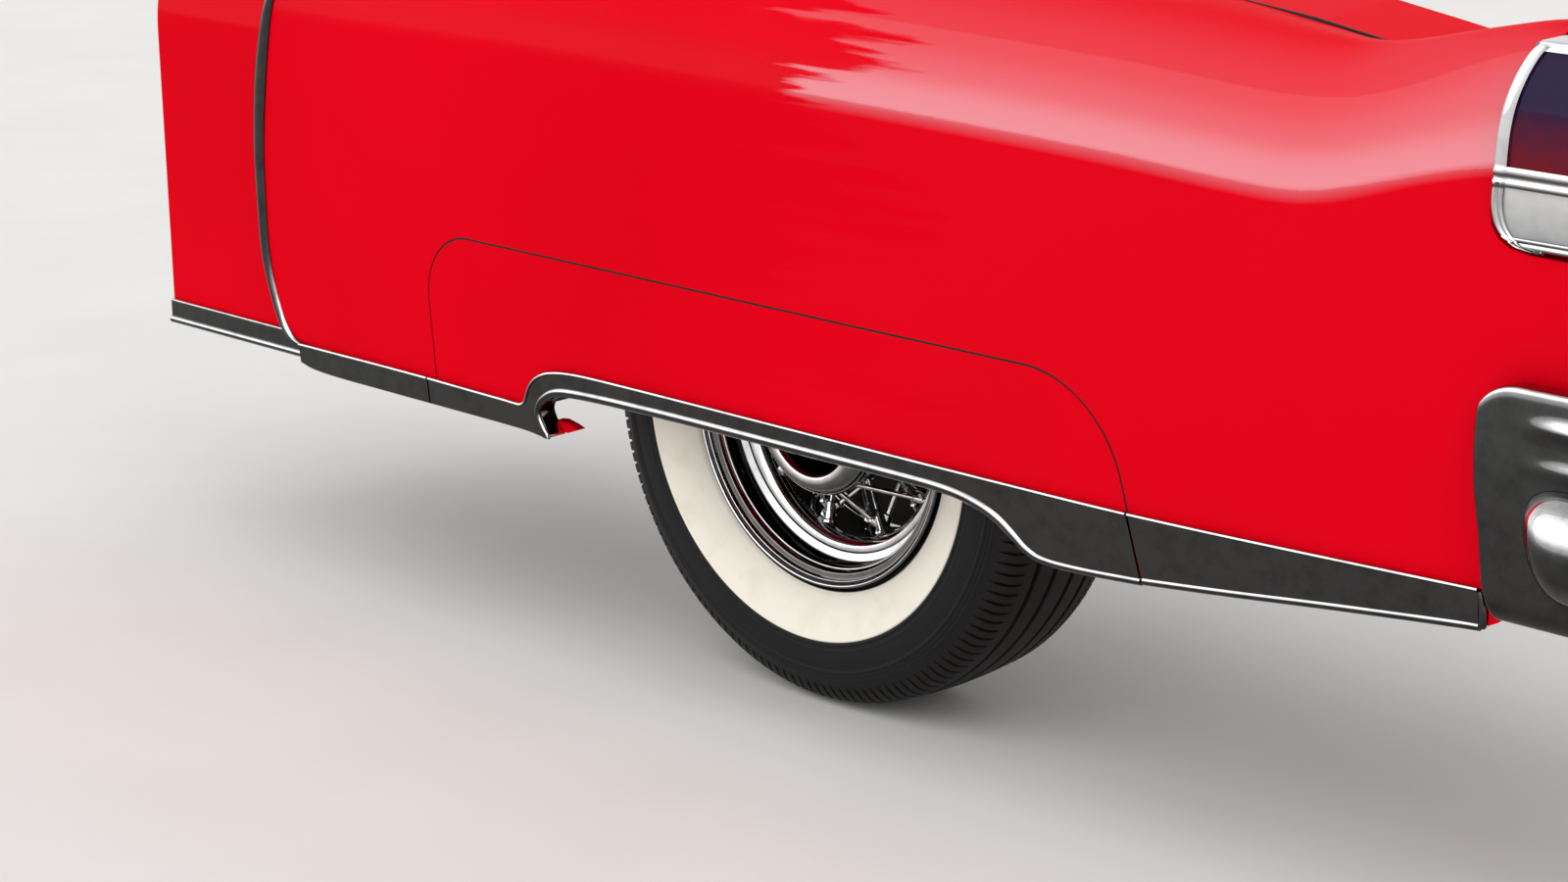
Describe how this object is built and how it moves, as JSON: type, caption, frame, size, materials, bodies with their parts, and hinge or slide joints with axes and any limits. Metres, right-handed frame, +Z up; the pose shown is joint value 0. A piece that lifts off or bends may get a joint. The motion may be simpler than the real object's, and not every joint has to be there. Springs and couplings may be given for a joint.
{
  "type": "convertible car left rear quarter",
  "caption": "Left rear quarter of a 1950s convertible: long red fender with fitted wheel skirt, chrome mouldings and bumper end, upright tail lamp and whitewall wire wheel",
  "frame": {"origin": "centre of the inner end of the left half of the rear axle tube, on the wheel's axis, at the car's centre line", "axes": "+X to the back of the car, +Y along the wheel's axis to the car's centre line, +Z up"},
  "size_m": [2.753, 0.848, 0.9761],
  "materials": {
    "body_paint": "gloss",
    "dark_underbody": "satin",
    "chrome_plate": "polished",
    "bare_steel": "brushed",
    "cast_drum": "rough",
    "tyre_rubber": "matte",
    "seal_rubber": "matte",
    "red_lens": "gloss",
    "clear_lens": "gloss"
  },
  "bodies": {
    "quarter": {"axle_bearing": "bare_steel", "axle_tube": "dark_underbody", "backing_plate": "dark_underbody", "body_outrigger": "dark_underbody", "bumper_bracket": "dark_underbody", "bumper_end": "chrome_plate", "bumper_exhaust_pod": "chrome_plate", "deck_seal": "seal_rubber", "deck_side_panel": "body_paint", "fender_welt": "seal_rubber", "floor_panel": "dark_underbody", "frame_rail": "dark_underbody", "front_lower_moulding": "chrome_plate", "fuel_filler_cap": "bare_steel", "fuel_filler_neck": "bare_steel", "lamp_hinge_bracket": "bare_steel", "leading_edge_strip": "chrome_plate", "leaf_spring": "dark_underbody", "lock_pillar_panel": "body_paint", "pipe_hanger": "dark_underbody", "quarter_side_panel": "dark_underbody", "rear_fender": "body_paint", "rear_lower_moulding": "chrome_plate", "shock_absorber": "dark_underbody", "sill_box": "dark_underbody", "sill_moulding": "chrome_plate", "skirt_moulding": "chrome_plate", "spring_front_hanger": "dark_underbody", "spring_plate": "dark_underbody", "spring_shackle": "dark_underbody", "tail_panel": "body_paint", "tail_pipe": "bare_steel", "wheel_skirt": "body_paint", "wheelhouse": "dark_underbody"},
    "wheel": {"wheel_rim": "chrome_plate", "whitewall_tyre": "tyre_rubber", "wheel_hub": "chrome_plate", "wire_spokes": "chrome_plate", "hub_cap": "chrome_plate", "wheel_nuts": "bare_steel", "brake_drum": "cast_drum", "axle_shaft": "bare_steel"},
    "lamp": {"lamp_bezel": "chrome_plate", "lamp_lens_red": "red_lens", "lamp_lens_clear": "clear_lens"}
  },
  "joints": [
    {"name": "wheel_spin", "type": "hinge", "parent": "quarter", "child": "wheel", "pos_m": [0, 0, 0], "axis": [0, 1, 0], "continuous": true},
    {"name": "lamp_hinge", "type": "hinge", "parent": "quarter", "child": "lamp", "pos_m": [1.09, -0.718, 0.582], "axis": [0, -1, 0], "range_deg": [0, 70]}
  ]
}
